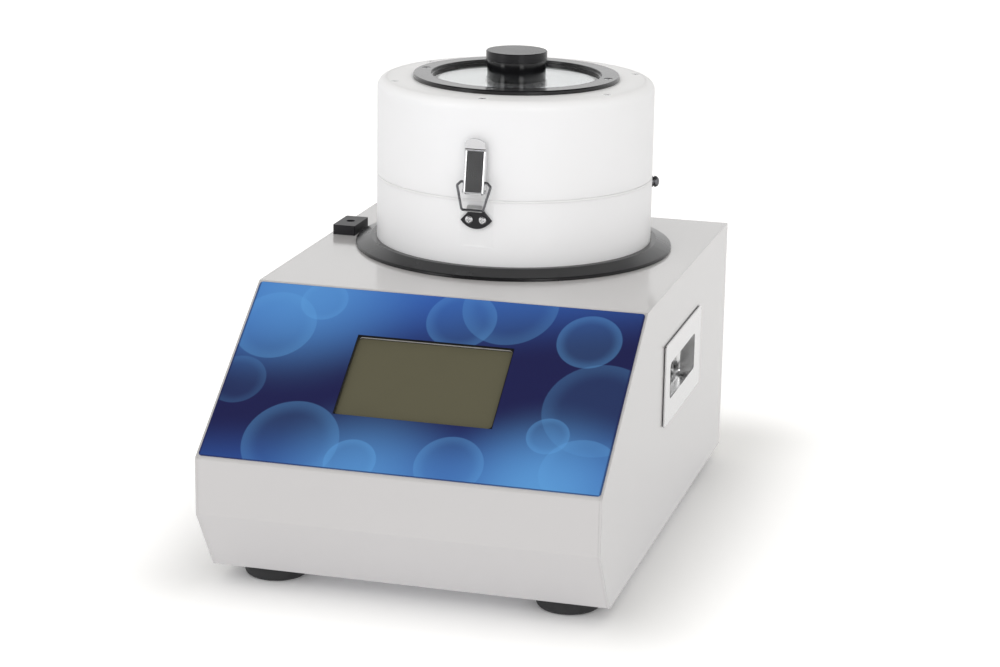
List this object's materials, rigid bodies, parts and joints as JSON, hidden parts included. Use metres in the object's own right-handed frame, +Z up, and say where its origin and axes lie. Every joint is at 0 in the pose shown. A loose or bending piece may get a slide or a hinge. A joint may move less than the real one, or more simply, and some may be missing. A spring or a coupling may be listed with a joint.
{
  "type": "spin coater",
  "caption": "Bench-top spin coater: steel case with a sloping touch panel, and a round plastic spin bowl whose hinged, latched lid has a window and a capped port.",
  "frame": {"origin": "centre of the bounding box on the plane that the feet stand on", "axes": "+Z up, -Y towards the operator and the sloping panel, +X to the operator's right"},
  "size_m": [0.2532, 0.386, 0.3012],
  "materials": {
    "case_paint": "glossy",
    "panel_film": "glossy",
    "screen_glass": "glossy",
    "foam": "matte",
    "foot_rubber": "matte",
    "board": "satin",
    "black_plastic": "glossy",
    "collar_black": "glossy",
    "bowl_plastic": "satin",
    "white_rubber": "matte",
    "handle_metal": "satin",
    "steel": "brushed",
    "chrome": "polished",
    "black_metal": "satin",
    "window_glass": "clear",
    "aluminium": "satin",
    "motor_black": "satin",
    "chuck_plastic": "satin",
    "red_rubber": "matte",
    "hose": "satin",
    "brass": "satin",
    "supply_metal": "satin"
  },
  "bodies": {
    "base": {"case_shell": "case_paint", "case_side_left": "case_paint", "case_side_right": "case_paint", "base_plate": "case_paint", "rear_panel": "case_paint", "panel_screws": "steel", "feet": "foot_rubber", "foot_screws": "steel", "control_panel": "panel_film", "display_gasket": "foam", "display_glass": "screen_glass", "display_board": "board", "control_board": "board", "post_block": "black_plastic", "handle_plates": "handle_metal", "handle_gaskets": "foam", "deck_collar": "collar_black", "bowl": "bowl_plastic", "rim_gasket": "white_rubber", "purge_fitting": "chrome", "strike_plate": "black_metal", "strike_hook": "chrome", "bowl_screws": "steel", "hinge_leaf_low": "steel", "hinge_pin": "steel", "motor_plate": "aluminium", "standoffs": "steel", "motor": "motor_black", "spindle_seal": "foam", "rotary_joint": "aluminium", "vacuum_hose_in": "hose", "vacuum_valve": "brass", "vacuum_hose_out": "hose", "vacuum_barb": "brass", "drain_fitting": "bowl_plastic", "drain_hose": "hose", "drain_barb": "bowl_plastic", "power_supply": "supply_metal", "motor_driver": "motor_black", "mains_inlet": "black_plastic", "inlet_pins": "brass", "rocker_frame": "black_plastic"},
    "lid": {"hinge_leaf_high": "steel", "lid_wall": "bowl_plastic", "lid_top": "bowl_plastic", "window_gasket": "foam", "window": "window_glass", "window_ring": "black_plastic", "ring_screws": "steel", "lid_screws": "steel", "lid_fitting_screws": "steel", "port_sleeve": "black_plastic", "port_nut": "black_plastic", "latch_base": "steel", "lever_pin": "steel"},
    "latch_lever": {"latch_lever": "chrome"},
    "latch_bail": {"latch_bail": "chrome"},
    "port_cap": {"port_cap": "black_plastic"},
    "rotor": {"spindle_shaft": "steel", "chuck": "chuck_plastic", "chuck_ring": "red_rubber"},
    "rocker": {"rocker": "black_plastic"}
  },
  "joints": [
    {"name": "lid_hinge", "type": "hinge", "parent": "base", "child": "lid", "pos_m": [0, 0.16005, 0.2191], "axis": [-1, 0, 0], "range_deg": [0, 100]},
    {"name": "latch_lift", "type": "hinge", "parent": "lid", "child": "latch_lever", "pos_m": [0, -0.0303, 0.2263], "axis": [1, 0, 0], "range_deg": [0, 85]},
    {"name": "bail_swing", "type": "hinge", "parent": "latch_lever", "child": "latch_bail", "pos_m": [0, -0.0311, 0.2324], "axis": [1, 0, 0], "range_deg": [-66, 0]},
    {"name": "cap_lift", "type": "slide", "parent": "lid", "child": "port_cap", "axis": [0, 0, 1], "range_m": [0, 0.03]},
    {"name": "spindle", "type": "hinge", "parent": "base", "child": "rotor", "pos_m": [0, 0.067, 0.19], "axis": [0, 0, 1], "continuous": true},
    {"name": "power_rocker", "type": "hinge", "parent": "base", "child": "rocker", "pos_m": [-0.082, 0.1718, 0.095], "axis": [1, 0, 0], "range_deg": [0, 18]}
  ],
  "couplings": [
    {"joint": "bail_swing", "follows": "latch_lift", "ratio": -0.76}
  ]
}
